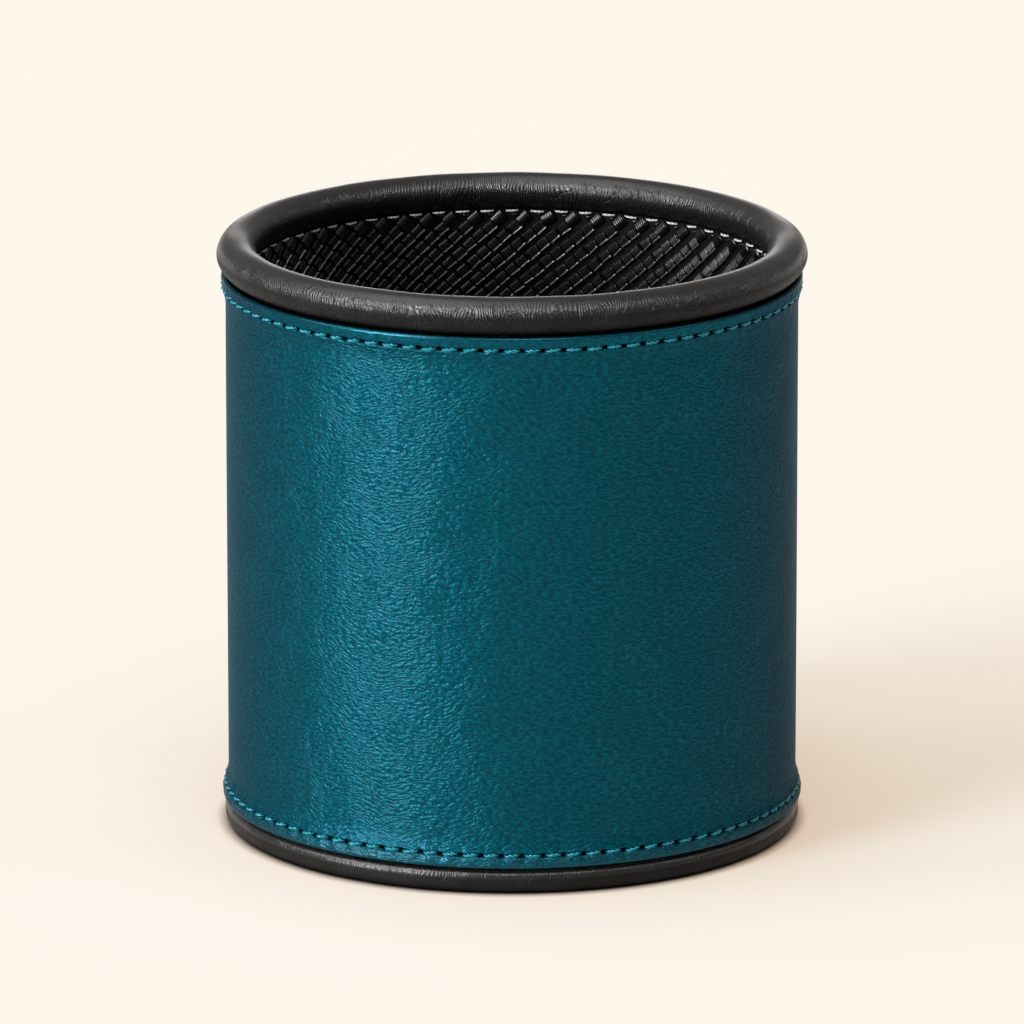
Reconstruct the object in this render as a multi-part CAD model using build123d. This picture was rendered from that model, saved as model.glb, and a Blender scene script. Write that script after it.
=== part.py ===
from build123d import *
from math import atan2, degrees, pi, radians, sin, sqrt
import os

# Round pen holder: a board tube wrapped in stitched leather, with a padded leather rim, a woven lining and a
# leather-covered base on a felt pad. Millimetres, +Z up, origin in the middle of the underside, and the
# wrap's seam at the back, on +Y.

# Outside sizes
overall_height = 100.0  # floor to the top of the padded rim
body_radius = 47.5  # leather face between the hems

# Tube, floor and lining
tube_wall = 2.0
floor_board_thickness = 2.0
floor_lining_thickness = 0.9
lining_thickness = 0.9
lining_rise = 0.2  # height of the lining's edge above the bottom of the rim roll
glue_line = 0.05  # room left between curved faces that are glued together

# Padded rim
rim_roll_diameter = 6.2
rim_leather = 0.8
rim_tail_leather = 0.35  # the cover's two edges, pared thin, on both faces of the tube

# Leather wrap and its two hems
wrap_leather = 0.8
hem_leather = 0.6  # outer layer of a hem, pared before it is folded
upper_turn_leather = 0.4  # inner layer of the upper hem, which lies on the rim's tail
fold_gap = 0.1  # between the two layers of a hem
hem_depth = 3.4  # folded edge to raw edge
hem_taper = 1.4  # height in which the wrap comes back to the tube
lower_crevice = 0.35  # dark line between the lower hem and the base

# Seam at the back of the wrap, and the lining's seam at the front
seam_slant = 0.5  # how far the pared ends of the wrap lie over each other
seam_gap = 0.12

# Stitches
stitch_count = 88  # in each hem
stitch_gap = 0.8  # between one stitch and the next
stitch_slant = 5.0  # degrees
stitch_inset = 2.2  # leather edge to the middle of the stitches
thread_diameter = 0.62
thread_end_diameter = 0.42  # where the thread goes into its holes
thread_sides = 8
thread_sink = 0.3  # depth of the groove that the stitches pull into the leather
lining_stitch_count = 66
lining_stitch_gap = 2.0
lining_stitch_inset = 0.45
lining_thread_diameter = 0.45

# Base
base_height = 4.05  # floor to the top of the base
base_lip = 0.5  # how far the base stands out past the body
base_leather = 0.8
base_edge_flat = 0.65  # straight part of the base's edge, between its two rounds
base_turn_in = 10.0  # width of the leather turned under the board
felt_stand = 0.2  # how far the felt stands below the leather
felt_clearance = 0.3

# Radii worked out from the outside in
tube_outer = body_radius - wrap_leather - glue_line
tube_inner = tube_outer - tube_wall
lining_back = tube_inner - glue_line
lining_face = lining_back - lining_thickness
rim_ring_radius = (tube_outer + tube_inner) / 2
rim_roll_radius = rim_roll_diameter / 2
rim_core_radius = rim_roll_radius - rim_leather - glue_line
tail_outside = tube_outer + glue_line + rim_tail_leather
turn_outside = tail_outside + glue_line + upper_turn_leather
hem_inside = turn_outside + fold_gap
hem_face = hem_inside + hem_leather
base_radius = body_radius + base_lip

# Heights worked out from the floor up
base_board_bottom = felt_stand + base_leather
base_board_top = base_height - base_leather
base_edge_round = (base_height - felt_stand - base_edge_flat) / 2
floor_board_top = base_height + floor_board_thickness
floor_top = floor_board_top + floor_lining_thickness
rim_centre_height = overall_height - rim_roll_radius
rim_roll_bottom = rim_centre_height - rim_roll_radius
tube_top = rim_centre_height - sqrt(rim_core_radius**2 - (tube_wall / 2) ** 2)
upper_hem_edge = rim_roll_bottom
lower_hem_edge = base_height + lower_crevice
lining_top = rim_roll_bottom + lining_rise
rim_tail_end = upper_hem_edge - hem_depth

# Stitch sizes
stitch_length = 2 * pi * hem_face / stitch_count - stitch_gap
lining_stitch_length = 2 * pi * lining_face / lining_stitch_count - lining_stitch_gap
groove_width = thread_diameter + stitch_length * sin(radians(stitch_slant)) + 2 * glue_line


def turned(*edges):
    """A solid turned about the Z axis from a closed outline of (radius, height) points."""
    return revolve(Plane.XZ * make_face(edges), Axis.Z)


def ring(inner, outer, bottom, top):
    """A plain ring with square edges."""
    return turned(Polyline((inner, bottom), (outer, bottom), (outer, top), (inner, top), close=True))


def disc(radius, bottom, top):
    return Pos(0, 0, (bottom + top) / 2) * Cylinder(radius, top - bottom)


def core_tube():
    """Wound board tube that carries everything else."""
    return ring(tube_inner, tube_outer, base_height, tube_top)


def floor_board():
    """Board disc pressed into the foot of the tube."""
    return disc(tube_inner - glue_line, base_height, floor_board_top)


def floor_lining():
    """Woven disc glued on the floor board."""
    return disc(tube_inner - glue_line, floor_board_top, floor_top)


def lining_sleeve():
    """Woven sleeve with a butt seam at the front, pared behind its upper edge, where the rim's tail lies."""
    pared_back = lining_back - rim_tail_leather - glue_line
    pared_height = rim_tail_end - glue_line
    outline = Polyline(
        (lining_face, floor_top),
        (lining_back, floor_top),
        (lining_back, pared_height),
        (pared_back, pared_height),
        (pared_back, lining_top),
        (lining_face, lining_top),
        close=True,
    )
    seam = Pos(0, -lining_face, overall_height / 2) * Box(seam_gap, 4 * lining_thickness, overall_height)
    return turned(outline) - seam


def rim_core():
    """Padding cord of the rim, cut flat underneath to sit on the tube's edge."""
    start = (rim_ring_radius + tube_wall / 2, tube_top)
    crown = (rim_ring_radius, rim_centre_height + rim_core_radius)
    finish = (rim_ring_radius - tube_wall / 2, tube_top)
    return turned(ThreePointArc(start, crown, finish), Line(finish, start))


def rim_cover():
    """Leather rolled over the padding, with a pared tail on both faces of the tube."""
    inner_reach = tube_wall / 2 + glue_line
    outer_reach = inner_reach + rim_tail_leather
    inner_radius = rim_roll_radius - rim_leather
    inner_height = rim_centre_height - sqrt(inner_radius**2 - inner_reach**2)
    outer_height = rim_centre_height - sqrt(rim_roll_radius**2 - outer_reach**2)
    middle = rim_ring_radius
    outside = ThreePointArc(
        (middle + outer_reach, outer_height),
        (middle, overall_height),
        (middle - outer_reach, outer_height),
    )
    inner_tail = Polyline(
        (middle - outer_reach, outer_height),
        (middle - outer_reach, rim_tail_end),
        (middle - inner_reach, rim_tail_end),
        (middle - inner_reach, inner_height),
    )
    inside = ThreePointArc(
        (middle - inner_reach, inner_height),
        (middle, rim_centre_height + inner_radius),
        (middle + inner_reach, inner_height),
    )
    outer_tail = Polyline(
        (middle + inner_reach, inner_height),
        (middle + inner_reach, rim_tail_end),
        (middle + outer_reach, rim_tail_end),
        (middle + outer_reach, outer_height),
    )
    return turned(outside, inner_tail, inside, outer_tail)


def hem_edges(edge, into_wrap, turn_inside):
    """One hem's outline, from the wrap's face round the fold to the wrap's back. The hem lies from the height
    edge towards the wrap, which is down (-1) from the upper edge and up (+1) from the lower one."""
    raw_edge = edge + into_wrap * hem_depth
    taper_end = raw_edge + into_wrap * hem_taper
    fold_radius = (hem_face - turn_inside) / 2
    fold_start = edge + into_wrap * fold_radius
    outer_layer = Polyline((body_radius, taper_end), (hem_face, raw_edge), (hem_face, fold_start))
    fold = ThreePointArc((hem_face, fold_start), (turn_inside + fold_radius, edge), (turn_inside, fold_start))
    layers = Polyline(
        (turn_inside, fold_start),
        (turn_inside, raw_edge),
        (turn_outside, raw_edge),
        (turn_outside, fold_start),
        (hem_inside, fold_start),
        (hem_inside, raw_edge),
        (tube_outer + glue_line, taper_end),
    )
    return outer_layer, fold, layers


def stitch_groove(height):
    """Cutter for the groove that a row of hem stitches pulls into the leather."""
    floor = hem_face - thread_sink
    return ring(floor, hem_face + thread_sink, height - groove_width / 2, height + groove_width / 2)


def seam_stitch_angle():
    """Turn from +Y to the seam's stitches, on the flap whose edge shows."""
    return degrees((stitch_inset - seam_slant / 2) / body_radius)


def seam_row():
    """Bottom and top of the plain leather between the tapers of the two hems."""
    hem_reach = hem_depth + hem_taper
    return lower_hem_edge + hem_reach, upper_hem_edge - hem_reach


def outer_wrap():
    """Leather sheet round the tube, folded in at both edges, with pared ends that overlap at the back."""
    upper = hem_edges(upper_hem_edge, -1, tail_outside + glue_line)
    lower = hem_edges(lower_hem_edge, 1, tube_outer + glue_line)
    bottom, top = seam_row()
    face = Line((body_radius, bottom), (body_radius, top))
    back = Line((tube_outer + glue_line, bottom), (tube_outer + glue_line, top))
    sheet = turned(*upper, *lower, face, back)

    slit_turn = atan2(wrap_leather, seam_slant)
    slit_length = 2 * (hem_face - tube_outer) / sin(slit_turn)
    slit_middle = Pos(0, body_radius - wrap_leather / 2, overall_height / 2)
    slit = slit_middle * Rot(Z=degrees(slit_turn)) * Box(slit_length, seam_gap, overall_height)

    seam_groove = Box(groove_width, 2 * thread_sink, top - bottom)
    seam_groove = Rot(Z=seam_stitch_angle()) * Pos(0, body_radius, (bottom + top) / 2) * seam_groove
    upper_groove = stitch_groove(upper_hem_edge - stitch_inset)
    lower_groove = stitch_groove(lower_hem_edge + stitch_inset)
    return sheet - [slit, seam_groove, upper_groove, lower_groove]


def stitch(length, diameter):
    """One stitch along Z, an eight-sided bar that is fullest in its middle and slimmer at its two holes."""
    end_radius = diameter / 2 * thread_end_diameter / thread_diameter
    half = length / 2
    rings = [(-half, end_radius), (0, diameter / 2), (half, end_radius)]
    sections = [Pos(0, 0, height) * RegularPolygon(radius, thread_sides) for height, radius in rings]
    return loft(sections, ruled=True)


def stitch_round(count, radius, height, one_stitch):
    """A row of stitches laid round the holder, each a little aslant."""
    laid = Pos(0, -radius, height) * Rot(Y=90 - stitch_slant) * one_stitch
    return Compound([Rot(Z=360 * index / count) * laid for index in range(count)])


def hem_stitches(height):
    radius = hem_face - thread_sink + glue_line + thread_diameter / 2
    return stitch_round(stitch_count, radius, height, stitch(stitch_length, thread_diameter))


def upper_hem_stitches():
    return hem_stitches(upper_hem_edge - stitch_inset)


def lower_hem_stitches():
    return hem_stitches(lower_hem_edge + stitch_inset)


def seam_stitches():
    """Upright row of stitches beside the seam, at the hems' own pitch."""
    bottom, top = seam_row()
    pitch = stitch_length + stitch_gap
    count = int((top - bottom) / pitch)
    first = (bottom + top - (count - 1) * pitch) / 2
    radius = body_radius - thread_sink + glue_line + thread_diameter / 2
    laid = Rot(Z=seam_stitch_angle()) * Pos(0, radius, 0) * Rot(Y=stitch_slant)
    one_stitch = laid * stitch(stitch_length, thread_diameter)
    return Compound([Pos(0, 0, first + index * pitch) * one_stitch for index in range(count)])


def lining_stitches():
    """Row of stitches on the lining's face, just under its upper edge."""
    radius = lining_face - glue_line - lining_thread_diameter / 2
    one_stitch = stitch(lining_stitch_length, lining_thread_diameter)
    sag = radius - sqrt(radius**2 - (lining_stitch_length / 2) ** 2)
    return stitch_round(lining_stitch_count, radius - sag, lining_top - lining_stitch_inset, one_stitch)


def base_board():
    """Board disc inside the base, with rounded edges."""
    radius = base_radius - base_leather - glue_line
    board = disc(radius, base_board_bottom, base_board_top)
    return fillet(board.edges().filter_by(GeomType.CIRCLE), base_edge_round - base_leather)


def base_cover():
    """Leather over the top and the edge of the base board, turned under it."""
    cap = disc(base_radius, felt_stand, base_height)
    cap = fillet(cap.edges().filter_by(GeomType.CIRCLE), base_edge_round)
    room = disc(base_radius - base_leather, base_board_bottom, base_board_top)
    room = fillet(room.edges().filter_by(GeomType.CIRCLE), base_edge_round - base_leather)
    return cap - [room, disc(base_radius - base_turn_in, 0, base_board_bottom)]


def felt_pad():
    """Felt disc that fills the hollow inside the turned-in leather and stands on the table."""
    return disc(base_radius - base_turn_in - felt_clearance, 0, base_board_bottom)


pieces = [
    core_tube,
    floor_board,
    floor_lining,
    lining_sleeve,
    lining_stitches,
    rim_core,
    rim_cover,
    outer_wrap,
    upper_hem_stitches,
    lower_hem_stitches,
    seam_stitches,
    base_board,
    base_cover,
    felt_pad,
]

os.makedirs("parts", exist_ok=True)
for make_piece in pieces:
    export_step(make_piece(), f"parts/{make_piece.__name__}.step")
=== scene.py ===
from math import cos, pi, radians, sin, tau

import bpy
import numpy as np
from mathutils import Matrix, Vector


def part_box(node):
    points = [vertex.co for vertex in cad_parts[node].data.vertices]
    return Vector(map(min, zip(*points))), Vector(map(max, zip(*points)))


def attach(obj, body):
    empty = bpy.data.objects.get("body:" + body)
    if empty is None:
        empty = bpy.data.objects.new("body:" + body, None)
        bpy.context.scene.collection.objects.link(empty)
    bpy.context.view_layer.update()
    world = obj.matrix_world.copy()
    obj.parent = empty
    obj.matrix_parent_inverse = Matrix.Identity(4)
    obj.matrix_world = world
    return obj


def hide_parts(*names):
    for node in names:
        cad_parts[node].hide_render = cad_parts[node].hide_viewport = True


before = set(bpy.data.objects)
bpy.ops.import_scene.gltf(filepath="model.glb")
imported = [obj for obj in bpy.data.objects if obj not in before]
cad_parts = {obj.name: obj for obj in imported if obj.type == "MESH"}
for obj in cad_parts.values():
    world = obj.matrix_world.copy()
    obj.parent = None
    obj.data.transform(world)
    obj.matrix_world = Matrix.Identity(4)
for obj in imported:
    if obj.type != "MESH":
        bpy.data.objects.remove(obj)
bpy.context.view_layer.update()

# Round pen holder: a board tube in stitched leather, with a padded rim, a ribbed woven lining and a leather
# base. Pieces are worked out in millimetres, with angles counted from the front (-Y) towards the right (+X).

mm = 0.001


def reach(node):
    """Outer radius, bottom and top of a round CAD node, in mm."""
    low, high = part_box(node)
    return high.x / mm, low.z / mm, high.z / mm


def middle_height(node):
    """Height of the middle of a CAD node, in mm."""
    low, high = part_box(node)
    return (low.z + high.z) / 2 / mm


# Sizes taken from the frame
hem_radius, wrap_bottom, wrap_top = reach("outer_wrap")
tube_radius, _, tube_top = reach("core_tube")
_, rim_tail_end, rim_top = reach("rim_cover")
lining_back, lining_bottom, lining_top = reach("lining_sleeve")
floor_radius, floor_cloth_bottom, floor_cloth_top = reach("floor_lining")
base_radius, base_bottom, base_top = reach("base_cover")
felt_radius, felt_bottom, felt_top = reach("felt_pad")
upper_row = middle_height("upper_hem_stitches")
lower_row = middle_height("lower_hem_stitches")

# Leather wrap
body_radius = 47.5
wrap_back = tube_radius + 0.08
wrap_unevenness = 0.035
stitch_count = 88
columns_per_stitch = 12
hem_fold = 0.5  # radius of the folded edge
fold_steps = 8
ridge_length = 1.0  # ridges of the leather's grain
ridge_spacing = 0.42
hem_reach = 5.2  # height in which the hem comes down to the plain leather
hem_row_step = 0.2
hem_band = (2.35, 3.2)  # depths from the edge between which the hem's flat band ends
hem_slope_start = 2.5
hem_groove = 0.32  # groove under a row of stitches
hem_groove_width = 0.34
lower_flare = 0.22  # how far the lower hem leans out
flare_reach = 2.2
hole_length = 0.6  # dimples at the stitch holes
hole_width = 0.3
hole_depth = 0.85
upper_pucker = 0.04  # waves that the stitches pull into the leather between their row and its edge
lower_pucker = 0.09
inner_pucker = 0.04  # and beyond the row
pucker_unevenness = 0.7
burnished_edge = (0.2, 0.6)  # distances from the wrap's edges between which smooth and waxed zones fade out
burnished_band = (1.5, 2.0)
waxed_fold = (0.35, 0.6)
waxed_band = (1.6, 2.1)
body_row_step = 4.0
lap_width = 4.2  # overlap of the wrap's ends at the back
lap_height = 0.3
seam_groove = 0.16

# Stitches
stitch_gap = 1.0
stitch_slant = radians(7)
ply_radius = 0.17  # each of the two strands of the thread
ply_offset = 0.145
ply_turns = 1.6  # twists of the thread in one stitch
stitch_sink = 0.22  # how deep a hem's stitches lie below its face
stitch_dive = 0.48  # how far a stitch's ends go down into their holes
seam_stitch_dive = 0.3
lining_stitch_count = 66
lining_stitch_length = 2.15
lining_stitch_dive = -0.3  # outwards, because the lining faces the axis
lining_thread_thickness = 0.7  # beside that of the hems' thread

# Rim roll, a little flatter than round
rim_tube_middle = (tube_radius + lining_back) / 2 + 0.025
rim_half_width = 3.3
rim_half_height = 3.08
rim_columns = 720
rim_unevenness = 0.03
leather_thickness = 0.8  # of the black leather

# Padding cord
cord_strands = 3
strand_radius = 1.0
strand_offset = 1.05  # middle of a strand from the middle of the cord
cord_turns = 30  # twists of the cord in one round
cord_steps_per_turn = 8

# Lining weave: ribs of rounded blocks that climb to the right on the wall that faces the viewer
rib_count = lining_stitch_count
rib_climb = radians(40)
block_pitch = 2.3
block_length = 2.12
block_width = 1.6
block_roundness = 0.6
yarn_pitch = 0.44  # fine yarns across a block
lining_face = 43.7
weave_ground = lining_back - 0.2
block_height = weave_ground - lining_face
pad_length = 2.4  # pad that ends a rib, under the lining's stitches
pad_width = 2.2
pad_height = 0.8
pad_roundness = 0.8
rib_spacing = tau * weave_ground / rib_count  # along the wall's round
rib_end = (rib_spacing / 2, lining_top - 1.5)  # middle of the pad that ends a rib
rib_step = (-block_pitch * cos(rib_climb), -block_pitch * sin(rib_climb), 0)
rib_blocks = int((rib_end[1] - lining_bottom) / -rib_step[1])


def deselect():
    """Leaves edit mode and drops every selection, so that the next operator acts on its own piece alone."""
    if bpy.context.object and bpy.context.object.mode != "OBJECT":
        bpy.ops.object.mode_set(mode="OBJECT")
    bpy.ops.object.select_all(action="DESELECT")


def take(piece):
    """Makes one piece the selected and active one."""
    deselect()
    piece.select_set(True)
    bpy.context.view_layer.objects.active = piece
    return piece


def named(name):
    """Names the piece that an operator has just made."""
    piece = bpy.context.object
    piece.name = name
    piece.data.name = name
    return piece


def ease(start, end, value):
    """Smooth step from 0 at start to 1 at end."""
    share = np.clip((value - start) / (end - start), 0, 1)
    return share * share * (3 - 2 * share)


def bell(value, width):
    """Bell curve of height 1."""
    return np.exp(-((value / width) ** 2))


def points_of(piece):
    """Points of a piece in mm, one row each."""
    flat = np.empty(len(piece.data.vertices) * 3)
    piece.data.vertices.foreach_get("co", flat)
    return flat.reshape(-1, 3) / mm


def move_points(piece, points):
    piece.data.vertices.foreach_set("co", (points * mm).ravel())
    piece.data.update()


def pick_points(piece, chosen):
    """Enters edit mode with only the chosen points selected."""
    take(piece)
    bpy.ops.object.mode_set(mode="EDIT")
    bpy.ops.mesh.select_mode(type="VERT")
    bpy.ops.mesh.select_all(action="DESELECT")
    bpy.ops.object.mode_set(mode="OBJECT")
    piece.data.vertices.foreach_set("select", chosen)
    bpy.ops.object.mode_set(mode="EDIT")


def mark_points(piece, name, values):
    """Stores a number for each point, for the piece's material to read."""
    piece.data.attributes.new(name, "FLOAT", "POINT").data.foreach_set("value", values)


def to_round(points):
    """Angle, radius and height of points in mm."""
    return np.arctan2(points[:, 0], -points[:, 1]), np.hypot(points[:, 0], points[:, 1]), points[:, 2]


def from_round(angle, radius, height):
    return np.stack([radius * np.sin(angle), -radius * np.cos(angle), height], axis=1)


def select_open_edges():
    """In edit mode, selects only the edges that have one face."""
    bpy.ops.mesh.select_all(action="DESELECT")
    bpy.ops.mesh.select_mode(type="EDGE")
    bpy.ops.mesh.select_non_manifold(extend=False, use_wire=False, use_multi_face=False,
                                     use_non_contiguous=False, use_verts=False)


def turn_faces_out():
    """Turns every face outwards and leaves edit mode."""
    bpy.ops.mesh.select_all(action="SELECT")
    bpy.ops.mesh.normals_make_consistent(inside=False)
    bpy.ops.object.mode_set(mode="OBJECT")


def lathe(name, profile, columns, disc=False):
    """A closed ring, drawn up from a circle row by row along a closed outline of (radius, height) rows in mm.
    A disc starts from a small capped circle under its middle, goes over its edge and ends at its middle."""
    deselect()
    radius, height = profile[0]
    bpy.ops.mesh.primitive_circle_add(vertices=columns, radius=radius * mm, location=(0, 0, height * mm),
                                      fill_type="NGON" if disc else "NOTHING")
    piece = named(name)
    bpy.ops.object.transform_apply(location=True, rotation=False, scale=False)
    bpy.ops.object.mode_set(mode="EDIT")
    bpy.ops.mesh.select_all(action="SELECT")
    for (radius, height), (next_radius, next_height) in zip(profile, profile[1:]):
        rise = (0, 0, (next_height - height) * mm)
        bpy.ops.mesh.extrude_region_move(TRANSFORM_OT_translate={"value": rise})
        share = next_radius / radius
        bpy.ops.transform.resize(value=(share, share, 1), center_override=(0, 0, next_height * mm))
    if not disc:
        select_open_edges()
        bpy.ops.mesh.bridge_edge_loops()
    turn_faces_out()
    bpy.ops.object.shade_smooth_by_angle(angle=radians(40))
    return piece


def arc(middle, half_width, half_height, start, end, steps):
    """Points of an ellipse from one angle to another, in degrees from the outward side upwards."""
    turns = np.radians(np.linspace(start, end, steps + 1))
    return [(middle[0] + half_width * cos(turn), middle[1] + half_height * sin(turn)) for turn in turns]


def row_heights(start, end, step):
    """Evenly spaced heights from start up or down to end, both included."""
    count = max(1, round(abs(end - start) / step))
    return np.linspace(start, end, count + 1).tolist()


def repeat(piece, count, offset):
    """Repeats a piece in a line, by an offset in mm, as one mesh."""
    take(piece)
    array = piece.modifiers.new("line", "ARRAY")
    array.count = count
    array.use_relative_offset = False
    array.use_constant_offset = True
    array.constant_offset_displace = np.array(offset) * mm
    bpy.ops.object.modifier_apply(modifier=array.name)
    return piece


def repeat_round(piece, count):
    """Repeats a piece in equal turns round the holder's axis, as one mesh."""
    deselect()
    bpy.ops.object.empty_add(rotation=(0, 0, tau / count))
    pivot = bpy.context.object
    take(piece)
    array = piece.modifiers.new("round", "ARRAY")
    array.count = count
    array.use_relative_offset = False
    array.use_object_offset = True
    array.offset_object = pivot
    bpy.ops.object.modifier_apply(modifier=array.name)
    bpy.data.objects.remove(pivot)
    return piece


def lead_curve(points, radius):
    """Leads the curve that an operator has just made through points in mm, as a tube."""
    curve = bpy.context.object.data
    spline = curve.splines[0]
    spline.points.add(len(points) - len(spline.points))
    for place, control in zip(points, spline.points):
        control.co = (*(np.array(place) * mm), 1)
    spline.order_u = 3
    curve.bevel_depth = radius * mm
    curve.bevel_resolution = 1
    curve.resolution_u = 2
    return curve, spline


def strand(points, radius):
    """One strand of thread through points in mm, as a closed tube that is slimmer at its ends."""
    deselect()
    bpy.ops.curve.primitive_nurbs_path_add()
    curve, spline = lead_curve(points, radius)
    for control in spline.points:
        control.radius = 1
    spline.points[0].radius = 0.7
    spline.points[-1].radius = 0.7
    spline.use_endpoint_u = True
    curve.use_fill_caps = True
    bpy.ops.object.convert(target="MESH")
    return bpy.context.object


def joined(name, parts):
    """Joins parts into one piece."""
    take(parts[0])
    for part in parts[1:]:
        part.select_set(True)
    bpy.ops.object.join()
    return named(name)


def twisted_stitch(name, length, dive, thickness):
    """One stitch of two-ply thread along X, bowed out towards -Y, with its ends pulled into their holes."""
    plies = []
    for start_turn in (0, pi):
        points = []
        for share in np.linspace(-1, 1, 15):
            turn = start_turn + ply_turns * pi * share
            apart = ply_offset * thickness * (1 - 0.35 * abs(share) ** 3)
            points.append((
                share * length / 2,
                dive * abs(share) ** 2.4 + apart * cos(turn),
                apart * sin(turn),
            ))
        plies.append(strand(points, ply_radius * thickness))
    stitch = joined(name, plies)
    bpy.ops.object.shade_smooth()
    return stitch


def turned_about_y(points, turn):
    """Points turned in the X-Z plane, so that +X rises towards +Z."""
    x, y, z = points.T
    return np.stack([x * cos(turn) - z * sin(turn), y, x * sin(turn) + z * cos(turn)], axis=1)


def vary_stitches(piece, count, seed, facing):
    """Gives each stitch of a round row its own small lean, length and height, as hand-pulled thread has."""
    draw = np.random.default_rng(seed)
    points = points_of(piece).reshape(count, -1, 3)
    for index in range(count):
        angle, radius, height = to_round(points[index])
        middle = np.arctan2(np.sin(angle).mean(), np.cos(angle).mean())
        along = np.arctan2(np.sin(angle - middle), np.cos(angle - middle)) * radius.mean()
        up = height - height.mean()
        lean = draw.normal(0, radians(2.2))
        along = along * (1 + draw.normal(0, 0.035)) + draw.normal(0, 0.05)
        up = up + along * lean + draw.normal(0, 0.035)
        radius = radius + facing * draw.normal(0, 0.03)
        points[index] = from_round(middle + along / radius.mean(), radius, height.mean() + up)
    move_points(piece, points.reshape(-1, 3))


def stitch_round(name, count, length, radius, height, dive, thickness, slant, seed):
    """A row of twisted stitches round the holder."""
    piece = twisted_stitch(name, length, dive, thickness)
    points = turned_about_y(points_of(piece), slant)
    move_points(piece, points + np.array([0, -radius, height]))
    repeat_round(piece, count)
    vary_stitches(piece, count, seed, 1 if dive > 0 else -1)
    return piece


def slow_waves(angle, height, seed, waves, height_scale):
    """Gentle seamless unevenness of hand-laid material, between about -1 and 1."""
    draw = np.random.default_rng(seed)
    total = np.zeros_like(angle)
    for _ in range(6):
        turns = draw.integers(waves[0], waves[1])
        total += np.sin(turns * angle + height / height_scale * draw.uniform(-1, 1) + draw.uniform(0, tau))
    return total / 3


def hem_face_radius(depth):
    """Radius of a hem's face at a depth from its edge: a flat band, a stitch groove, then a long slope."""
    proud = hem_radius - body_radius
    band = 0.5 * proud * (1 - ease(*hem_band, depth))
    slope = 0.5 * proud * (1 - ease(hem_slope_start, hem_reach, depth))
    groove = hem_groove * bell(depth - (wrap_top - upper_row), hem_groove_width)
    return body_radius + band + slope - groove


def hem_rows(edge, into, flare):
    """Rows of one hem's face, from the top of its fold to the plain leather. into is -1 downwards, +1
    upwards, and flare is how far the hem leans out at its edge."""
    fold_middle = hem_radius + flare - hem_fold
    rows = [
        (fold_middle + hem_fold * sin(turn), edge + into * hem_fold * (1 - cos(turn)))
        for turn in np.linspace(0, pi / 2, fold_steps + 1)[:-1]
    ]
    for depth in row_heights(hem_fold, hem_reach, hem_row_step):
        lean = flare * (1 - ease(hem_fold, flare_reach, depth))
        rows.append((hem_face_radius(depth) + lean, edge + into * depth))
    return rows


def leather_wrap():
    """Teal leather round the tube: folded hems, dimples at the stitch holes and a lapped seam at the back."""
    upper = hem_rows(wrap_top, -1, 0.0)
    lower = hem_rows(wrap_bottom, 1, lower_flare)
    body_heights = row_heights(upper[-1][1], lower[-1][1], body_row_step)[1:-1]
    body = [(body_radius, height) for height in body_heights]
    fold_back = hem_radius - 2 * hem_fold
    back = [
        (fold_back, wrap_bottom + hem_fold),
        (wrap_back, wrap_bottom + hem_reach),
        (wrap_back, wrap_top - hem_reach),
        (fold_back, wrap_top - hem_fold),
    ]
    profile = upper + body + lower[::-1] + back
    piece = lathe("leather_wrap", profile, stitch_count * columns_per_stitch)

    angle, radius, height = to_round(points_of(piece))
    face = ease(fold_back, fold_back + hem_fold, radius)
    phase = (angle * stitch_count / tau) % 1
    beside_hole = (phase - 0.5) * tau * hem_radius / stitch_count
    pull = np.cos(angle * stitch_count)
    uneven = slow_waves(angle, height, 3, (5, 60), 6.0)
    relief = wrap_unevenness * slow_waves(angle, height, 1, (2, 13), 14.0)
    holes = np.zeros_like(angle)
    for edge, row, pucker in ((wrap_top, upper_row, upper_pucker), (wrap_bottom, lower_row, lower_pucker)):
        depth = np.abs(height - edge)
        holes += bell(beside_hole, hole_length) * bell(height - row, hole_width)
        relief += pucker * pull * (1 + pucker_unevenness * uneven) * bell(depth - 1.25, 0.6)
        relief += inner_pucker * pull * (1 + pucker_unevenness * uneven) * bell(depth - 3.3, 0.8)
    relief -= hole_depth * holes

    # At the back, the end from the holder's left lies over the end from its right, with a groove under the
    # seam's stitches
    over = (angle % tau - pi) * body_radius
    hem = np.clip(radius - body_radius, 0, None) / (hem_radius - body_radius)
    lap = (over > -0.01) * (1 - ease(0.7 * lap_width, lap_width, over))
    relief += lap_height * lap * (1 - 0.5 * np.clip(hem, 0, 1))
    relief -= seam_groove * bell(over - seam_side(), 0.3) * (1 - hem)
    # Painted shade: a dark line along the lap's edge, stored with the stitch holes for the material to darken
    shade = 0.7 * bell(over + 0.15, 0.14)
    move_points(piece, from_round(angle, radius + face * relief, height))
    mark_points(piece, "hole_and_lap_shade", holes + shade)
    from_top = wrap_top - height
    from_bottom = height - wrap_bottom
    burnished = (1 - ease(*burnished_edge, from_bottom)) + (1 - ease(*burnished_band, from_top))
    mark_points(piece, "burnished", burnished)
    waxed = (1 - ease(*waxed_fold, from_top)) + (1 - ease(*waxed_band, from_bottom))
    mark_points(piece, "waxed", waxed)
    return piece


def seam_side():
    """Distance of the seam's stitches from the wrap's edge at the back, round the wrap."""
    low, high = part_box("seam_stitches")
    return -(low.x + high.x) / 2 / mm


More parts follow.
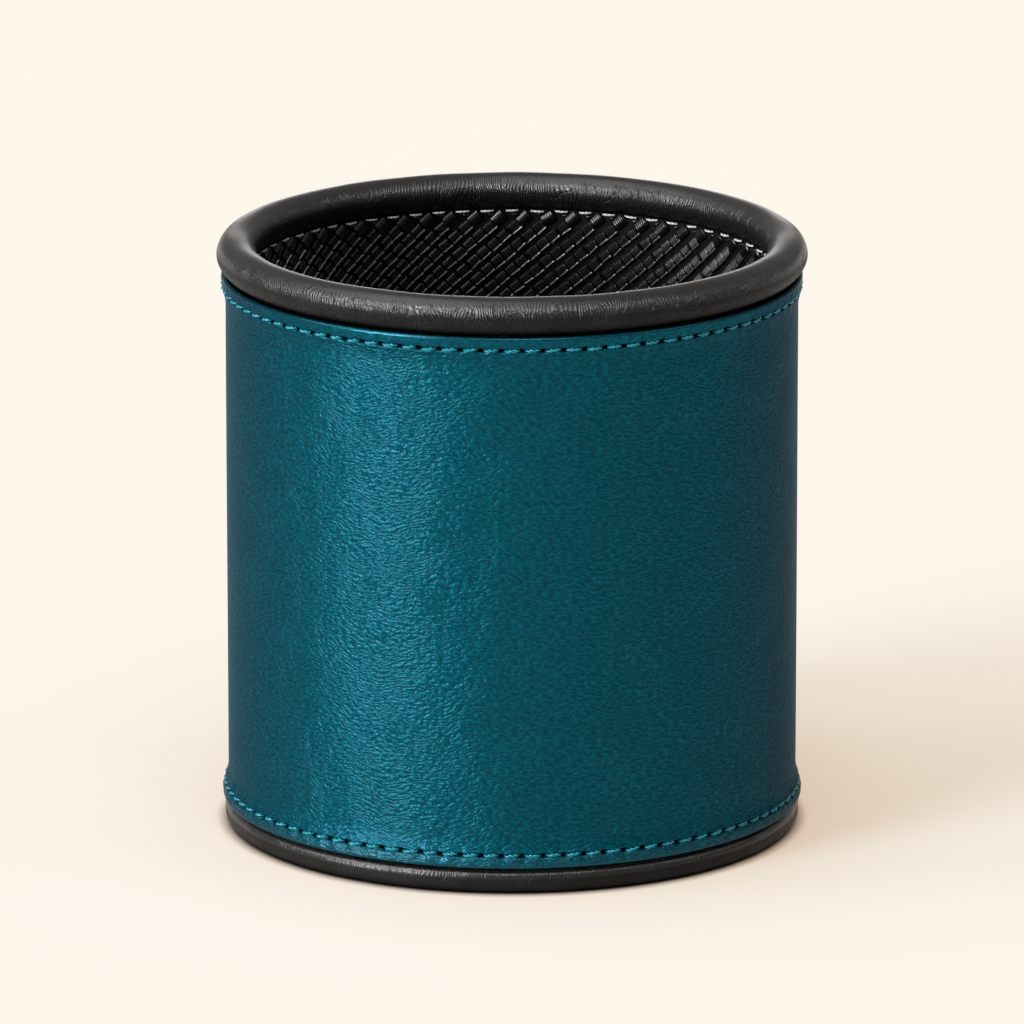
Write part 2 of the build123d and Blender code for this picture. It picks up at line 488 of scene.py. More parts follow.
def rim_roll():
    """Black leather rolled over the padding cord, with its two pared tails on the faces of the tube."""
    middle = (rim_tube_middle, rim_top - rim_half_height)
    cord = (rim_half_width - leather_thickness, rim_half_height - leather_thickness)
    outside = arc(middle, rim_half_width, rim_half_height, -65, 245, 64)
    inside = arc(middle, *cord, 240, -60, 24)
    outer_tail = [(tube_radius + 0.05, rim_tail_end), (tube_radius + 0.38, rim_tail_end)]
    inner_tail = [(lining_back - 0.35, rim_tail_end), (lining_back, rim_tail_end)]
    piece = lathe("rim_roll", outside + inner_tail + inside + outer_tail, rim_columns)
    angle, radius, height = to_round(points_of(piece))
    above = ease(middle[1] - rim_half_height, middle[1], height)
    out = np.stack([radius - middle[0], height - middle[1]])
    out = out / np.maximum(np.hypot(*out), 0.001)
    relief = above * rim_unevenness * slow_waves(angle, height, 5, (3, 28), 3.0)
    move_points(piece, from_round(angle, radius + out[0] * relief, height + out[1] * relief))
    return piece


def padding_cord():
    """Three-strand cord inside the rim, pressed flat on the tube's edge."""
    ring_height = rim_top - rim_half_height
    strands = []
    for index in range(cord_strands):
        points = []
        for angle in np.linspace(0, tau, cord_turns * cord_steps_per_turn + 1)[:-1]:
            lay = index * tau / cord_strands + cord_turns * angle
            radius = rim_tube_middle + strand_offset * cos(lay)
            points.append((radius * sin(angle), -radius * cos(angle), ring_height + strand_offset * sin(lay)))
        deselect()
        bpy.ops.curve.primitive_nurbs_circle_add()
        lead_curve(points, strand_radius)
        bpy.ops.object.convert(target="MESH")
        strands.append(bpy.context.object)
    piece = joined("padding_cord", strands)
    bpy.ops.object.shade_smooth()
    points = points_of(piece)
    points[:, 2] = np.maximum(points[:, 2], tube_top + 0.03)
    move_points(piece, points)
    return piece


def lining_cloth():
    """Ground of the woven lining, a plain sleeve that carries the ribs."""
    profile = [
        (weave_ground, lining_bottom + 0.02),
        (lining_back - 0.02, lining_bottom + 0.02),
        (lining_back - 0.02, rim_tail_end - 0.1),
        (lining_back - 0.42, rim_tail_end - 0.05),
        (lining_back - 0.42, lining_top),
        (weave_ground, lining_top),
    ]
    return lathe("lining_cloth", profile, 264)


def drawn_bar(name, corners, roundness, floor, rows, width, height):
    """A closed bar along X, drawn from an outline along rows of (place in mm, share of the full section). The
    outline is an ellipse at a roundness of 1, and squarer below that. Its corners below floor, as a share of
    the height, are left out, and a flat underside takes their place."""
    start, share = rows[0]
    deselect()
    bpy.ops.mesh.primitive_circle_add(vertices=corners, radius=share * mm, location=(start * mm, 0, 0),
                                      rotation=(0, pi / 2, 0))
    piece = named(name)
    bpy.ops.object.transform_apply(location=True, rotation=True, scale=False)
    points = points_of(piece)
    across = points[:, 1:] / share
    points[:, 1:] = share * np.sign(across) * np.abs(across) ** roundness
    move_points(piece, points)
    pick_points(piece, points[:, 2] < floor)
    bpy.ops.mesh.delete(type="VERT")
    bpy.ops.mesh.select_all(action="SELECT")
    for (place, share), (next_place, next_share) in zip(rows, rows[1:]):
        step = ((next_place - place) * mm, 0, 0)
        bpy.ops.mesh.extrude_region_move(TRANSFORM_OT_translate={"value": step})
        grow = next_share / share
        bpy.ops.transform.resize(value=(1, grow, grow), center_override=(0, 0, 0))
    bpy.ops.object.mode_set(mode="OBJECT")
    along = points_of(piece)[:, 0]
    for end, _ in (rows[0], rows[-1]):
        pick_points(piece, np.abs(along - end) < 0.01)
        bpy.ops.mesh.edge_face_add()
    if floor > -1:
        select_open_edges()
        bpy.ops.mesh.edge_face_add()
    turn_faces_out()
    move_points(piece, points_of(piece) * np.array([1, width / 2, height]))
    bpy.ops.object.shade_smooth_by_angle(angle=radians(30))
    return piece


def weave_block(name, length, width, height, roundness):
    """One block of the weave, lying along X on the X-Y plane."""
    rows = ((-0.5 * length, 0.72), (-0.42 * length, 1.0), (0.42 * length, 1.0), (0.5 * length, 0.72))
    return drawn_bar(name, 12, roundness, -0.1, rows, width, height)


def turned_flat(points, turn):
    """Points turned in the X-Y plane."""
    x, y, z = points.T
    return np.stack([x * cos(turn) - y * sin(turn), x * sin(turn) + y * cos(turn), z], axis=1)


def vary_blocks(points, count, seed):
    """Gives each of count equal blocks its own small shift, turn and height."""
    draw = np.random.default_rng(seed)
    blocks = points.reshape(count, -1, 3)
    middles = blocks.mean(axis=1, keepdims=True)
    loose = blocks - middles
    turns = draw.normal(0, radians(2.5), (count, 1))
    loose = np.stack([
        loose[..., 0] - turns * loose[..., 1],
        loose[..., 1] + turns * loose[..., 0],
        loose[..., 2],
    ], axis=2)
    middles[..., :2] += draw.normal(0, 0.05, (count, 1, 2))
    middles[..., 2] += draw.normal(0, 0.03, (count, 1))
    return (middles + loose).reshape(-1, 3)


def round_the_wall(piece, blocks, seed):
    """Repeats a flat rib round the inside wall, with small differences between its blocks. X runs to the
    right as seen from the axis, Y up and Z inwards."""
    repeat(piece, rib_count, (rib_spacing, 0, 0))
    along, up, inwards = vary_blocks(points_of(piece), blocks * rib_count, seed).T
    move_points(piece, from_round(pi - along / weave_ground, weave_ground - inwards, up))
    return piece


def on_ribs(piece, seed):
    """Repeats a block down a rib, below its end pad, and then rib by rib round the inside wall."""
    start = np.array([*rib_end, 0]) + rib_step
    move_points(piece, turned_flat(points_of(piece), rib_climb) + start)
    repeat(piece, rib_blocks, rib_step)
    return round_the_wall(piece, rib_blocks, seed)


def lining_ribs():
    """Raised blocks of the lining's ribs."""
    return on_ribs(weave_block("lining_ribs", block_length, block_width, block_height, block_roundness), 11)


def lining_rib_ends():
    """Larger pad at the top of every rib."""
    piece = weave_block("lining_rib_ends", pad_length, pad_width, pad_height, pad_roundness)
    bpy.ops.object.shade_smooth()
    move_points(piece, turned_flat(points_of(piece), rib_climb) + np.array([*rib_end, 0]))
    return round_the_wall(piece, 1, 13)


def lining_gap_ends():
    """Three-cornered pad between the tops of two ribs."""
    foot_radius = 1.05
    crown_radius = 0.5
    height = 0.55
    place = np.array([0.55, lining_top - 1.0, 0.27])
    deselect()
    bpy.ops.mesh.primitive_cone_add(vertices=3, radius1=foot_radius * mm, radius2=crown_radius * mm,
                                    depth=height * mm, rotation=(0, 0, pi))
    piece = named("lining_gap_ends")
    bpy.ops.object.transform_apply(location=False, rotation=True, scale=False)
    bpy.ops.object.mode_set(mode="EDIT")
    bpy.ops.mesh.select_all(action="SELECT")
    bpy.ops.mesh.bevel(offset=0.16 * mm, segments=2, affect="EDGES")
    bpy.ops.object.mode_set(mode="OBJECT")
    bpy.ops.object.shade_smooth_by_angle(angle=radians(60))
    move_points(piece, points_of(piece) + place)
    return round_the_wall(piece, 1, 14)


def rib_thread(name):
    """Short length of glossy thread along the lower side of one block, with a small knot at its upper end."""
    width = 0.3
    height = 0.15
    half = 0.45 * block_pitch
    rows = ((-half, 0.5), (-0.6 * half, 1.0), (0.5 * half, 1.0), (0.8 * half, 1.4), (half, 1.1))
    piece = drawn_bar(name, 8, 1, -2, rows, width, height)
    bpy.ops.object.shade_smooth()
    points = points_of(piece)
    bow = 1 - (points[:, 0] / half) ** 2
    knot = ease(0.5 * half, 0.8 * half, points[:, 0])
    points[:, 1] -= block_width / 2 + 0.05
    points[:, 2] += 0.78 * block_height + 0.1 * bow + 0.1 * knot
    move_points(piece, points)
    return piece


def lining_rib_threads():
    """Thin glossy thread along every rib."""
    return on_ribs(rib_thread("lining_rib_threads"), 12)


def floor_cloth():
    """Woven disc on the floor."""
    edge = floor_radius - lining_back + weave_ground
    profile = [
        (1.0, floor_cloth_bottom + 0.02),
        (edge, floor_cloth_bottom + 0.02),
        (edge, floor_cloth_top - block_height),
        (1.0, floor_cloth_top - block_height),
    ]
    return lathe("floor_cloth", profile, 132, disc=True)


def floor_ribs():
    """Raised blocks of the floor's weave, kept inside its edge."""
    pitch = rib_spacing * sin(rib_climb)
    edge = floor_radius - 1.6
    strips = []
    for index in range(-int(edge / pitch), int(edge / pitch) + 1):
        across = index * pitch
        count = int(2 * (edge**2 - across**2) ** 0.5 / block_pitch)
        if count < 1:
            continue
        strip = weave_block("floor_strip", block_length, block_width, block_height, block_roundness)
        start = np.array([-(count - 1) / 2 * block_pitch, across, floor_cloth_top - block_height])
        move_points(strip, points_of(strip) + start)
        strips.append(repeat(strip, count, (block_pitch, 0, 0)))
    piece = joined("floor_ribs", strips)
    move_points(piece, turned_flat(points_of(piece), rib_climb))
    return piece


def base_leather():
    """Black leather over the base board, pleated where it is turned under."""
    edge_round = 1.45
    pared = 0.75  # leather where it is turned under
    top_turn = 6.0  # leather between the tube's edge and the board
    pleat_count = 66
    pleat_height = 0.22
    pleat_rise = (46.5, 43.0)  # radii between which the pleats grow to their height
    upper = (base_radius - edge_round, base_top - edge_round)
    lower = (base_radius - edge_round, base_bottom + edge_round)
    under_end = felt_radius + 0.3
    outside = arc(upper, edge_round, edge_round, 90, 0, 8)
    outside += arc(lower, edge_round, edge_round, 0, -90, 8)
    under = [(radius, base_bottom) for radius in row_heights(base_radius - edge_round - 1, under_end, 1.0)]
    inside = [
        (under_end, base_bottom + pared),
        (base_radius - edge_round, base_bottom + leather_thickness),
        (base_radius - leather_thickness, base_bottom + edge_round),
        (base_radius - leather_thickness, base_top - edge_round),
        (base_radius - edge_round, base_top - leather_thickness),
        (tube_radius - top_turn, base_top - leather_thickness),
        (tube_radius - top_turn, base_top),
    ]
    piece = lathe("base_leather", outside + under + inside, 528)
    angle, radius, height = to_round(points_of(piece))
    underside = 1 - ease(base_bottom + 0.1, base_bottom + 0.7, height)
    underside = underside * ease(*pleat_rise, radius)
    pleats = 0.5 + 0.5 * np.sin(pleat_count * angle + 1.4 * np.sin(7 * angle))
    edge = ease(base_radius - 2 * edge_round, base_radius, radius)
    relief = 0.03 * edge * slow_waves(angle, height, 8, (4, 40), 3.0)
    height = height + pleat_height * underside * pleats
    move_points(piece, from_round(angle, radius + relief, height))
    return piece


def felt_disc():
    """Pressed felt under the base, a little fluffy at its edge."""
    soft = 0.35  # radius of its soft edge
    fluff = 0.18
    profile = [(1.0, felt_bottom)]
    profile += [(radius, felt_bottom) for radius in row_heights(6.0, felt_radius - soft, 4.0)]
    profile += arc((felt_radius - soft, felt_bottom + soft), soft, soft, -60, 0, 3)
    profile += [(felt_radius, felt_top - 0.05), (1.0, felt_top - 0.05)]
    piece = lathe("felt_disc", profile, 240, disc=True)
    angle, radius, height = to_round(points_of(piece))
    draw = np.random.default_rng(21)
    edge = ease(felt_radius - 0.3, felt_radius, radius)
    radius = radius - edge * draw.uniform(0, fluff, len(radius))
    move_points(piece, from_round(angle, radius, height))
    return piece


def seam_stitches():
    """Upright row of stitches beside the wrap's seam at the back."""
    low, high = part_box("seam_stitches")
    bottom, top = low.z / mm, high.z / mm
    pitch = tau * hem_radius / stitch_count
    count = round((top - bottom) / pitch)
    piece = twisted_stitch("seam_thread", pitch - stitch_gap, seam_stitch_dive, 1.0)
    points = turned_about_y(points_of(piece), pi / 2 - stitch_slant)
    points = np.stack([-points[:, 0], -points[:, 1], points[:, 2]], axis=1)
    turn = seam_side() / body_radius
    points = turned_flat(points + np.array([0, body_radius + lap_height - 0.05, 0]), turn)
    first = (bottom + top - (count - 1) * pitch) / 2
    move_points(piece, points + np.array([0, 0, first]))
    return repeat(piece, count, (0, 0, pitch))


def linear(hex_colour):
    """Linear colour of an sRGB hex value."""
    channels = [int(hex_colour[place:place + 2], 16) / 255 for place in (1, 3, 5)]
    return (*[c / 12.92 if c <= 0.04045 else ((c + 0.055) / 1.055) ** 2.4 for c in channels], 1)


def add_node(tree, kind, inputs=None, out=0, **settings):
    """Adds a shader node with settings, fills its inputs with values or links, and returns an output."""
    node = tree.nodes.new("ShaderNode" + kind)
    for name, value in settings.items():
        setattr(node, name, value)
    for name, value in (inputs or {}).items():
        if isinstance(value, bpy.types.NodeSocket):
            tree.links.new(value, node.inputs[name])
        else:
            node.inputs[name].default_value = value
    return node.outputs[out] if len(node.outputs) else node


def new_material(name):
    """An empty material and its node tree."""
    material = bpy.data.materials.new(name)
    material.use_nodes = True
    material.node_tree.nodes.clear()
    return material, material.node_tree


def surface(tree, **inputs):
    """Ends a material with a Principled shader. Underscores in the names stand for spaces."""
    named_inputs = {name.replace("_", " "): value for name, value in inputs.items()}
    shader = add_node(tree, "BsdfPrincipled", named_inputs)
    add_node(tree, "OutputMaterial", {"Surface": shader})


def place_in_mm(tree):
    """Object coordinates in millimetres."""
    place = add_node(tree, "TexCoord", out="Object")
    scale = (1 / mm, 1 / mm, 1 / mm)
    return add_node(tree, "VectorMath", {0: place, 1: scale}, operation="MULTIPLY")


def axes(tree, place):
    """X, Y and Z of a place."""
    return add_node(tree, "SeparateXYZ", {0: place}).node.outputs


def marked(tree, name):
    """Number that a piece stores for each of its points."""
    return add_node(tree, "Attribute", out="Fac", attribute_name=name)


def calc(tree, operation, *values):
    """Result of a sum on values or links."""
    return add_node(tree, "Math", dict(enumerate(values)), operation=operation)


def spread(tree, value, start, end, low=0.0, high=1.0, kind="LINEAR"):
    """Takes a value between start and end to one between low and high."""
    return add_node(tree, "MapRange", {0: value, 1: start, 2: end, 3: low, 4: high},
                    interpolation_type=kind)


def noise(tree, place, size, detail):
    """Noise with a grain of a size in mm."""
    return add_node(tree, "TexNoise", {"Vector": place, "Scale": 1 / size, "Detail": detail})


def bumped(tree, height, strength, depth):
    """Surface direction on a height map of a depth in mm."""
    return add_node(tree, "Bump", {"Height": height, "Strength": strength, "Distance": depth * mm})


def creases(tree, place, spacing, width):
    """Height, from 0 to 1, of thin wandering creases that run along one level of a noise."""
    level = add_node(tree, "TexNoise", {
        "Vector": place, "Scale": 1 / spacing, "Detail": 1.0, "Roughness": 0.45, "Distortion": 0.5})
    off = calc(tree, "ABSOLUTE", calc(tree, "SUBTRACT", level, 0.5))
    return spread(tree, off, 0.0, width, 1.0, 0.0, "SMOOTHSTEP")


def weighted_sum(tree, *terms):
    """Sum of (socket, weight) pairs."""
    total = 0.0
    for socket, weight in terms:
        total = calc(tree, "MULTIPLY_ADD", socket, weight, total)
    return total


def blotches(tree, place, size, low=0.0, high=1.0):
    """Slow variation between two values, in patches of a size in mm."""
    level = noise(tree, place, size, 3.0)
    return spread(tree, level, 0.3, 0.7, low, high)


def mixed(tree, share, first, second):
    """Colour between two colours."""
    return add_node(tree, "Mix", {0: share, 6: first, 7: second}, out=2, data_type="RGBA")


def hide_grain(tree, place):
    """Height of short wormy ridges that run round the wrap, in slowly turning directions."""
    part = axes(tree, place)
    front = calc(tree, "MULTIPLY", part["Y"], -1.0)
    turn = calc(tree, "ARCTAN2", part["X"], front)
    drift = noise(tree, place, 9.0, 1.0)
    waver = noise(tree, place, 2.0, 0.0)
    along = weighted_sum(tree, (turn, body_radius / ridge_length))
    rise = weighted_sum(tree, (part["Z"], 1.0), (drift, 4.5), (waver, 0.6))
    up = weighted_sum(tree, (rise, 1 / ridge_spacing))
    flat = add_node(tree, "CombineXYZ", {0: along, 1: up})
    ridge = add_node(tree, "TexNoise", {"Vector": flat, "Scale": 1.0, "Detail": 1.5},
                     noise_dimensions="2D")
    return spread(tree, ridge, 0.3, 0.7)


def teal_leather():
    # Cowhide with a teal pearl-pigment finish: short wormy grain, and a satin gloss that takes the colour of
    # the pigment and pales little at the edges. The upper hem and the folded edges are burnished smooth, and
    # the upper fold and the lower hem are waxed.
    material, tree = new_material("teal_leather")
    place = place_in_mm(tree)
    burnished = marked(tree, "burnished")
    depth = spread(tree, burnished, 0.0, 1.0, 1.0, 0.05)
    grain = hide_grain(tree, place)
    bump = bumped(tree, calc(tree, "MULTIPLY", grain, depth), 1.0, 0.1)
    patch = blotches(tree, place, 11.0)
    colour = mixed(tree, patch, linear("#004e5e"), linear("#005365"))
    colour = mixed(tree, grain, linear("#003a47"), colour)
    # The stitch holes and the lap's edge are coloured near black, as painted shade.
    hole_shade = spread(tree, marked(tree, "hole_and_lap_shade"), 0.15, 0.6)
    colour = mixed(tree, hole_shade, colour, linear("#00080a"))
    roughness = blotches(tree, place, 3.0, 0.4, 0.46)
    roughness = add_node(tree, "Mix", {0: burnished, 2: roughness, 3: 0.26})
    coat = spread(tree, marked(tree, "waxed"), 0.0, 1.0, 0.12, 0.3)
    surface(tree, Base_Color=colour, Metallic=0.7, Roughness=roughness, Specular_IOR_Level=0.0,
            Specular_Tint=linear("#6c95a0"), Coat_Weight=coat, Coat_Roughness=0.22, Normal=bump,
            Coat_Normal=bump)
    return material


def black_leather(name, ring_radius, waxed_from, waxed_above, relief):
    # Soft black nappa, stretched over a round edge: satin, with creases about 3 mm apart across the roll,
    # fine curved wrinkles between them and a smooth crown. Its wax sets in between two heights in mm.
    wrinkle_spacing = 0.52
    crease_spacing = 2.9
    material, tree = new_material(name)
    place = place_in_mm(tree)
    part = axes(tree, place)
    turn = calc(tree, "ARCTAN2", part["X"], part["Y"])
    wander = noise(tree, place, 4.5, 0.5)
    wrinkle_count = round(tau * ring_radius / wrinkle_spacing)
    phase = weighted_sum(tree, (turn, wrinkle_count), (wander, 50.0))
    wave = calc(tree, "SINE", phase)
    strength = blotches(tree, place, 4.0, 0.1, 1.0)
    wave = calc(tree, "MULTIPLY", wave, strength)
    crease_count = round(tau * ring_radius / crease_spacing)
    phase = weighted_sum(tree, (turn, crease_count / 2), (wander, 12.0))
    crease = calc(tree, "ABSOLUTE", calc(tree, "SINE", phase))
    crease = spread(tree, crease, 0.0, 0.28, kind="SMOOTHSTEP")
    grain = creases(tree, place, 0.75, 0.12)
    height = weighted_sum(tree, (wave, 0.2), (crease, 0.4), (grain, 0.14))
    crown = spread(tree, part["Z"], rim_top - 1.3, rim_top - 0.4, 1.0, 0.0)
    bump = bumped(tree, calc(tree, "MULTIPLY", height, crown), 1.0, relief)
    wax = spread(tree, part["Z"], waxed_from, waxed_above)
    patch = blotches(tree, place, 6.0)
    colour = mixed(tree, patch, linear("#0d0e0f"), linear("#141516"))
    roughness = blotches(tree, place, 2.5, 0.44, 0.52)
    surface(tree, Base_Color=colour, Roughness=roughness, Specular_IOR_Level=0.15, Coat_Weight=wax,
            Coat_Roughness=0.28, Coat_IOR=1.65, Normal=bump, Coat_Normal=bump)
    return material


def two_tone(name, pattern, sizes, dark, light, relief=None, **finish):
    """A material in two shades of one pattern. relief is the strength and depth in mm of its bumps."""
    material, tree = new_material(name)
    share = pattern(tree, place_in_mm(tree), *sizes)
    if relief:
        finish["Normal"] = bumped(tree, share, *relief)
    surface(tree, Base_Color=mixed(tree, share, linear(dark), linear(light)), **finish)
    return material


def painted_crevice_shade():
    # Matte near-black for the faces in the crevices, the rim's tails and lowest faces and the base's top
    # under the wrap: painted shade.
    return two_tone("painted_crevice_shade", blotches, (0.5,), "#020202", "#070606",
                    Roughness=1.0, Specular_IOR_Level=0.0)


def waxed_thread(name, dark, light, shine, roughness):
    # Waxed two-ply thread: the plies are modelled, and fine fibres give each a slight mottle.
    return two_tone(name, noise, (0.12, 2.0), dark, light, (0.5, 0.015),
                    Roughness=roughness, Specular_IOR_Level=0.9, Specular_Tint=linear(shine))


def filament_painted_highlight():
    # Smooth black synthetic thread along the ribs, which shines where it lies across the light. It is
    # coloured mid grey instead of black, as a painted highlight.
    return two_tone("filament_painted_highlight", blotches, (2.0,), "#444444", "#626262",
                    Roughness=0.36, Specular_IOR_Level=1.0, Coat_Weight=1.0, Coat_Roughness=0.32)


def along_wall_ribs(tree, place):
    """Distance in mm along the wall's ribs."""
    part = axes(tree, place)
    turn = calc(tree, "ARCTAN2", part["X"], part["Y"])
    return weighted_sum(tree, (turn, weave_ground * cos(rib_climb)), (part["Z"], sin(rib_climb)))


def along_floor_ribs(tree, place):
    """Distance in mm along the floor's ribs."""
    part = axes(tree, place)
    return weighted_sum(tree, (part["X"], cos(rib_climb)), (part["Y"], sin(rib_climb)))


def woven_ribs(name, along_ribs, relief):
    # Hard, glossy black synthetic weave: fine yarns across each block, drawn a little coarser than real ones.
    material, tree = new_material(name)
    place = place_in_mm(tree)
    turns = calc(tree, "MULTIPLY", along_ribs(tree, place), tau / yarn_pitch)
    yarn = calc(tree, "SINE", turns)
    fine = noise(tree, place, 0.4, 2.0)
    height = weighted_sum(tree, (yarn, 0.4), (fine, 0.25))
    bump = bumped(tree, height, 1.0, relief)
    # The yarns' crests are coloured lighter than their hollows, as a painted highlight
    shade = spread(tree, yarn, -1.0, 1.0)
    shade = calc(tree, "MULTIPLY", shade, fine)
    colour = mixed(tree, shade, linear("#020202"), linear("#121212"))
    surface(tree, Base_Color=colour, Roughness=0.3, Specular_IOR_Level=0.4, Coat_Weight=0.4,
            Coat_Roughness=0.26, Normal=bump, Coat_Normal=bump)
    return material


def lining_ground():
    # Matte black backing cloth between the ribs.
    return two_tone("lining_ground", noise, (0.3, 2.0), "#030303", "#090909", (0.6, 0.05),
                    Roughness=0.7, Specular_IOR_Level=0.15)


def pressed_felt():
    # Pressed black wool felt: matte, with short matted fibres.
    return two_tone("pressed_felt", creases, (0.5, 0.15), "#151515", "#2b2a2a", (0.9, 0.15),
                    Roughness=0.95, Specular_IOR_Level=0.1, Sheen_Weight=0.3)


def grey_board():
    # Wound grey board: recycled paper fibre with darker flecks.
    return two_tone("grey_board", blotches, (0.8,), "#8f8579", "#b3a99b", (0.4, 0.05),
                    Roughness=0.9, Specular_IOR_Level=0.2)


def cotton_cord():
    # Natural cotton padding cord: matte, off-white, with fibres along its strands.
    return two_tone("cotton_cord", creases, (0.6, 0.2), "#cfc5b2", "#e6dfd0", (0.6, 0.1),
                    Roughness=0.9, Specular_IOR_Level=0.2)


def finish_piece(piece, material, slot, *nodes):
    """Gives a finished piece its material, and hides the CAD nodes that it stands for. Its slot is not used.
    """
    piece.data.materials.clear()
    piece.data.materials.append(material)
    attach(piece, "root")
    if nodes:
        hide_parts(*nodes)
    return piece


def recoat(piece, material, chosen):
    """Gives a second material to faces that chosen() picks by the radius and height in mm of their middle."""
    piece.data.materials.append(material)
    for face in piece.data.polygons:
        x, y, z = face.center / mm
        if chosen(np.hypot(x, y), z):
            face.material_index = 1


def build_holder():
    rim_leather = black_leather("rim_leather", rim_tube_middle, rim_top - 2.9, rim_top - 1.7, 0.22)
    edge_leather = black_leather("base_leather", base_radius, base_top - 1.6, base_top - 0.6, 0.09)
    crevice_shade = painted_crevice_shade()
    teal_thread = waxed_thread("teal_thread", "#005e6e", "#0a8498", "#c4f4fc", 0.17)
    # The lining's stitches are black thread; their light grey colour is a painted highlight
    painted_highlight_thread = waxed_thread("painted_highlight_thread", "#b0b0b0", "#e0e0e0", "#ffffff", 0.2)
    wall_weave = woven_ribs("wall_weave", along_wall_ribs, 0.13)
    pad_weave = woven_ribs("pad_weave", along_wall_ribs, 0.04)
    floor_weave = woven_ribs("floor_weave", along_floor_ribs, 0.13)
    ground = lining_ground()
    board = grey_board()

    stitch_length = tau * hem_radius / stitch_count - stitch_gap
    thread_radius = hem_radius - stitch_sink
    wrap = finish_piece(leather_wrap(), teal_leather(), "teal_leather", "outer_wrap")
    for name, row, node, seed in (
        ("upper_thread", upper_row, "upper_hem_stitches", 31),
        ("lower_thread", lower_row, "lower_hem_stitches", 32),
    ):
        thread = stitch_round(name, stitch_count, stitch_length, thread_radius, row, stitch_dive, 1.0,
                              stitch_slant, seed)
        finish_piece(thread, teal_thread, "teal_thread", node)
    finish_piece(seam_stitches(), teal_thread, "teal_thread", "seam_stitches")
    rim = finish_piece(rim_roll(), rim_leather, "black_leather", "rim_cover")
    # The rim's tails and lowest faces, in the crevice over the wrap, get the near-black painted shade
    recoat(rim, crevice_shade, lambda radius, height: height < wrap_top + 0.5)
    finish_piece(padding_cord(), cotton_cord(), "padding_cord", "rim_core")
    lining = finish_piece(lining_cloth(), ground, "woven_lining", "lining_sleeve")
    weave = [
        finish_piece(lining_ribs(), wall_weave, "woven_lining"),
        finish_piece(lining_rib_ends(), pad_weave, "woven_lining"),
        finish_piece(lining_gap_ends(), pad_weave, "woven_lining"),
        finish_piece(lining_rib_threads(), filament_painted_highlight(), "black_thread"),
    ]
    lining_row = middle_height("lining_stitches") + 0.25
    lining_thread = stitch_round("lining_thread", lining_stitch_count, lining_stitch_length,
                                 lining_face - 0.15, lining_row, lining_stitch_dive,
                                 lining_thread_thickness, 0.0, 33)
    finish_piece(lining_thread, painted_highlight_thread, "black_thread", "lining_stitches")
    floor = finish_piece(floor_cloth(), ground, "woven_lining", "floor_lining")
    floor_blocks = finish_piece(floor_ribs(), floor_weave, "woven_lining")
    base = finish_piece(base_leather(), edge_leather, "black_leather", "base_cover")
    # The base's top beside the tube, in the crevice under the wrap, gets the near-black painted shade
    recoat(base, crevice_shade, lambda radius, height: radius < body_radius - 0.3 and height > base_top - 0.2)
    felt = finish_piece(felt_disc(), pressed_felt(), "felt", "felt_pad")
    for node in ("core_tube", "floor_board", "base_board"):
        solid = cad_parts[node]
        solid.data.materials.clear()
        solid.data.materials.append(board)


def seen_directly(tree):
    """1 for what the camera, a reflection or a see-through surface shows, 0 for light on other surfaces."""
    path = add_node(tree, "LightPath").node.outputs
    seen = calc(tree, "MAXIMUM", path["Is Camera Ray"], path["Is Glossy Ray"])
    return calc(tree, "MAXIMUM", seen, path["Is Transmission Ray"])


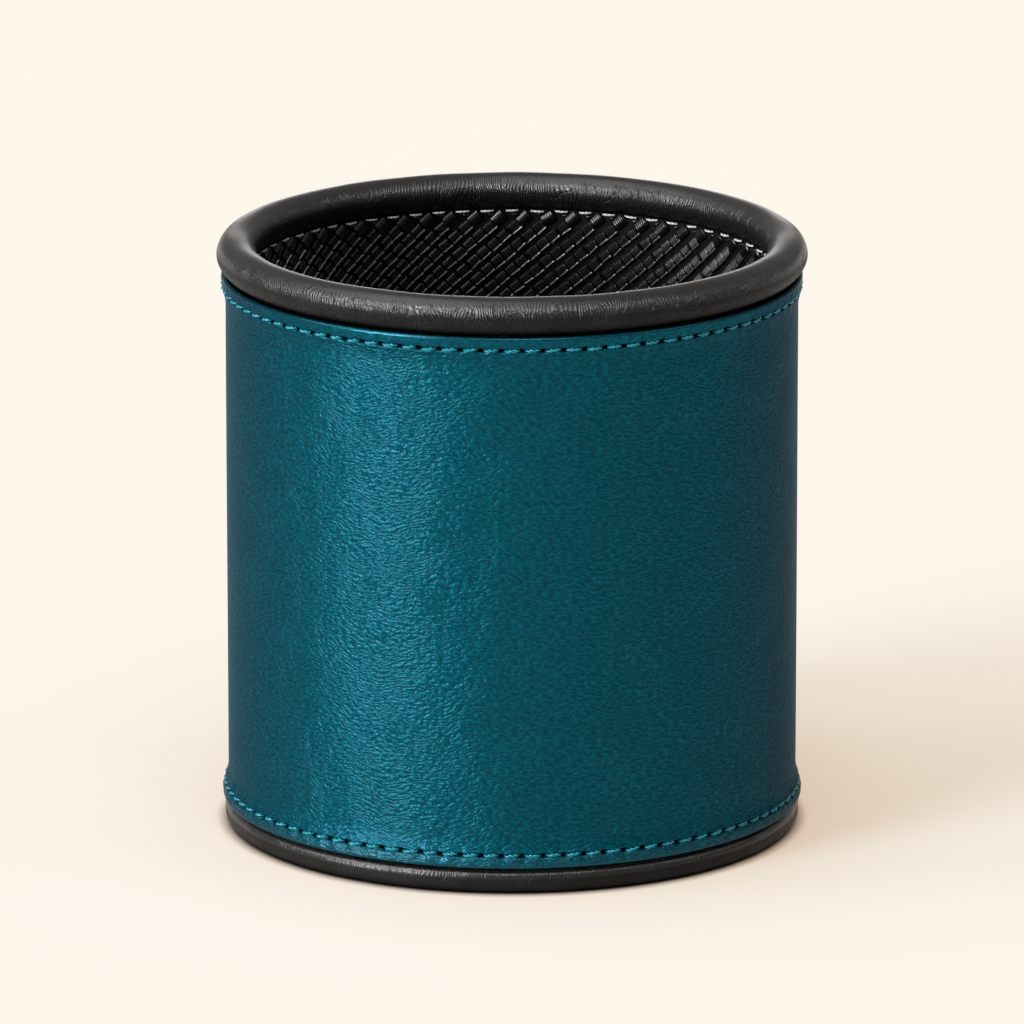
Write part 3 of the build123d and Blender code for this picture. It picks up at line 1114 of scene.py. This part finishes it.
def add_floor():
    """Pale cream floor that also fills the background, with a light warm shadow that darkens round the base
    and under its edge."""
    shade_reach = 32
    gap_reach = 2.5
    deselect()
    bpy.ops.mesh.primitive_plane_add(size=12)
    floor = named("studio_floor")
    material, tree = new_material("studio_floor")
    plain = add_node(tree, "BsdfDiffuse", {"Color": linear("#fdf6ec")})
    around = add_node(tree, "AmbientOcclusion", {"Distance": shade_reach * mm}, out="AO", samples=8)
    under = add_node(tree, "AmbientOcclusion", {"Distance": gap_reach * mm}, out="AO", samples=8)
    under = spread(tree, under, 0.2, 0.9)
    lit_colour = mixed(tree, around, linear("#8a9194"), linear("#99aeb7"))
    lit_colour = mixed(tree, under, linear("#1a1410"), lit_colour)
    lit = add_node(tree, "BsdfDiffuse", {"Color": lit_colour})
    glow = add_node(tree, "Emission", {"Color": linear("#cbae91"), "Strength": under})
    shown = add_node(tree, "AddShader", {0: lit, 1: glow})
    mix = add_node(tree, "MixShader", {0: seen_directly(tree), 1: plain, 2: shown})
    add_node(tree, "OutputMaterial", {"Surface": mix})
    floor.data.materials.append(material)


def add_sun(name, side, rise, strength, width):
    """A distant soft light: side and rise in degrees, side from the camera's direction towards the right."""
    deselect()
    bpy.ops.object.light_add(type="SUN", rotation=(pi / 2 - radians(rise), 0, radians(side)))
    sun = bpy.context.object
    sun.name = name
    sun.data.energy = strength
    sun.data.angle = radians(width)


def add_light():
    """A tall softbox at the left, as three soft discs one above the other, a bright strip and a pale ceiling
    beside it, a panel overhead, a weak one at the right, the backdrop's low edge behind and an even fill."""
    add_sun("low_softbox", -53, 5, 2.8, 24)
    add_sun("middle_softbox", -48, 20, 1.0, 24)
    add_sun("high_softbox", -50, 40, 0.8, 22)
    add_sun("side_strip", -84, 30, 0.5, 20)
    add_sun("left_ceiling", -90, 68, 0.95, 60)
    add_sun("overhead_panel", 8, 58, 0.8, 30)
    add_sun("right_panel", 78, 43, 0.2, 30)
    add_sun("backdrop", 180, 2, 0.1, 16)
    world = bpy.data.worlds.new("studio_world")
    bpy.context.scene.world = world
    world.use_nodes = True
    tree = world.node_tree
    tree.nodes.clear()
    fill = add_node(tree, "Background", {"Color": linear("#fdf6ec"), "Strength": 0.22})
    add_node(tree, "OutputWorld", {"Surface": fill})


def add_camera():
    """Camera at the photograph's angle: long lens, a little above the rim."""
    rise = radians(14.5)
    distance = 1.9
    aim_height = 0.05236
    lens = 400.8
    deselect()
    place = (0, -distance * cos(rise), aim_height + distance * sin(rise))
    bpy.ops.object.camera_add(location=place, rotation=(pi / 2 - rise, 0, 0))
    camera = bpy.context.object
    camera.data.lens = lens
    bpy.context.scene.camera = camera


build_holder()
add_floor()
add_light()
add_camera()
bpy.context.scene.view_settings.view_transform = "Standard"
